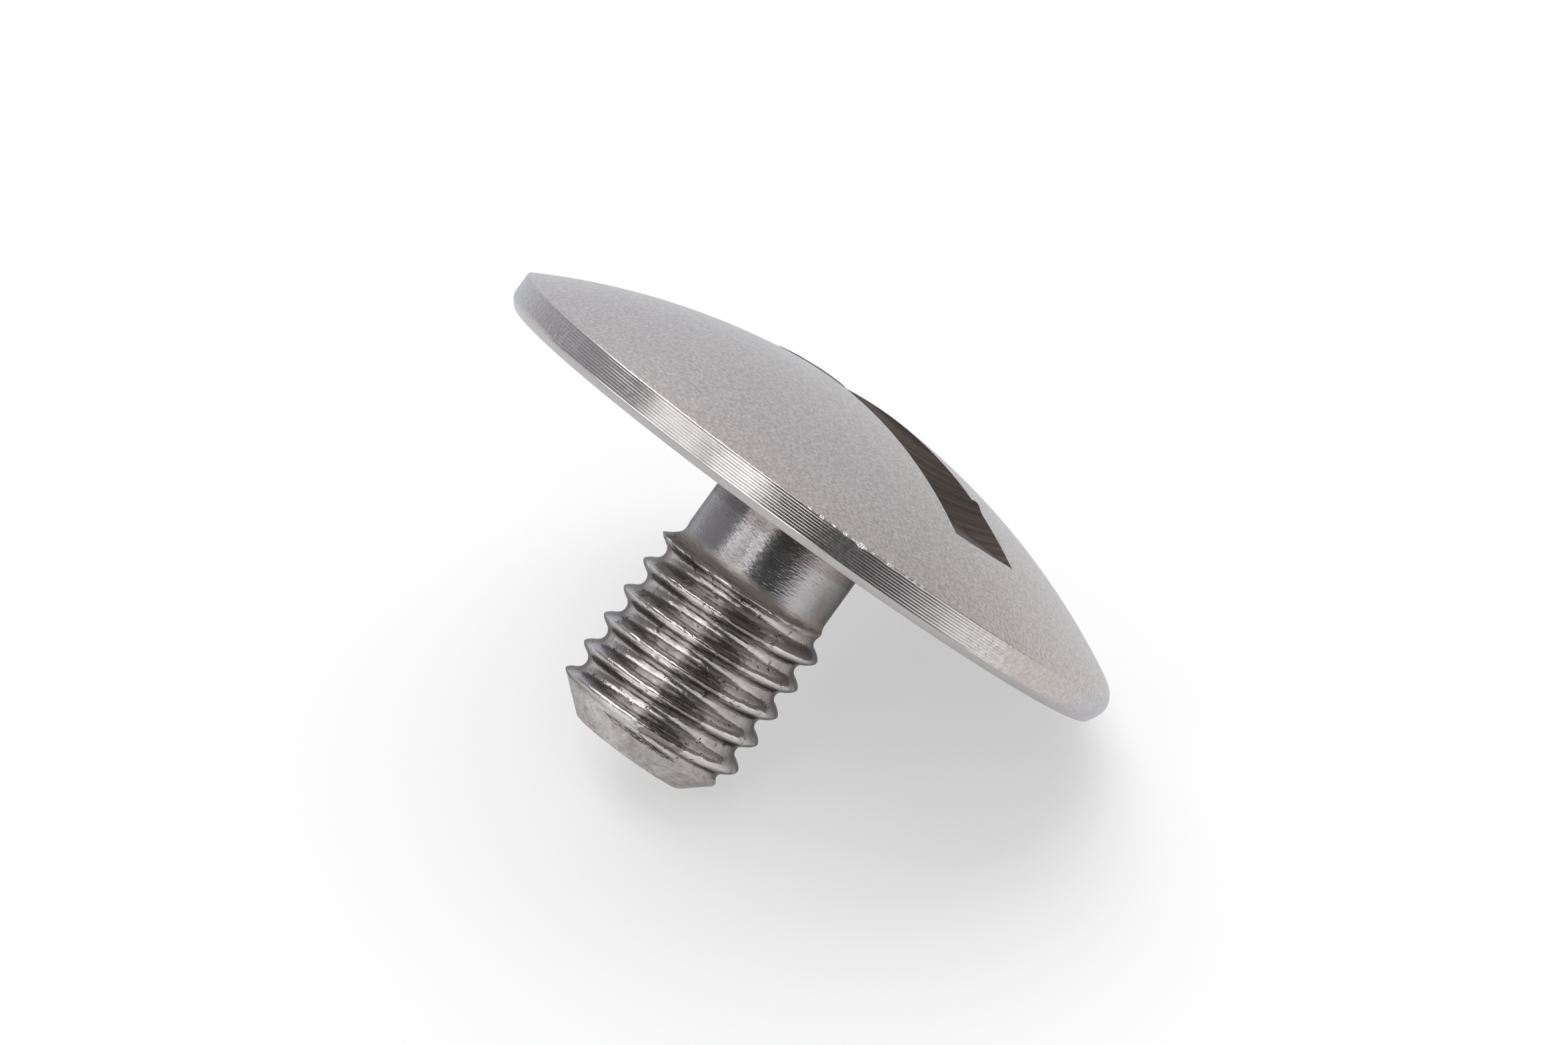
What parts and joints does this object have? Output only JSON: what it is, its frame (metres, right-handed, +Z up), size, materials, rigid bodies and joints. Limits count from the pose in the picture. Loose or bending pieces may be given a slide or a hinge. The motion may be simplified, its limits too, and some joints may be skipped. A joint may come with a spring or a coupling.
{
  "type": "slotted screw",
  "caption": "Low-domed screw with a wide round head, a straight driver slot, a turned rim, a plain neck and a short coarse machine thread with a blunt chamfered end.",
  "frame": {"origin": "on the surface that the screw lies on, under the middle of its bounding box", "axes": "+Z up from the surface; the screw's axis lies in the XZ plane and climbs at about 43.8 degrees from the thread's end towards the head, which faces +X; +Y runs across the head"},
  "size_m": [0.0158, 0.0214, 0.016],
  "materials": {
    "screw": "bead-blasted satin dome, bright turned rim, neck and thread"
  },
  "bodies": {
    "root": {"screw": "screw"}
  },
  "joints": []
}
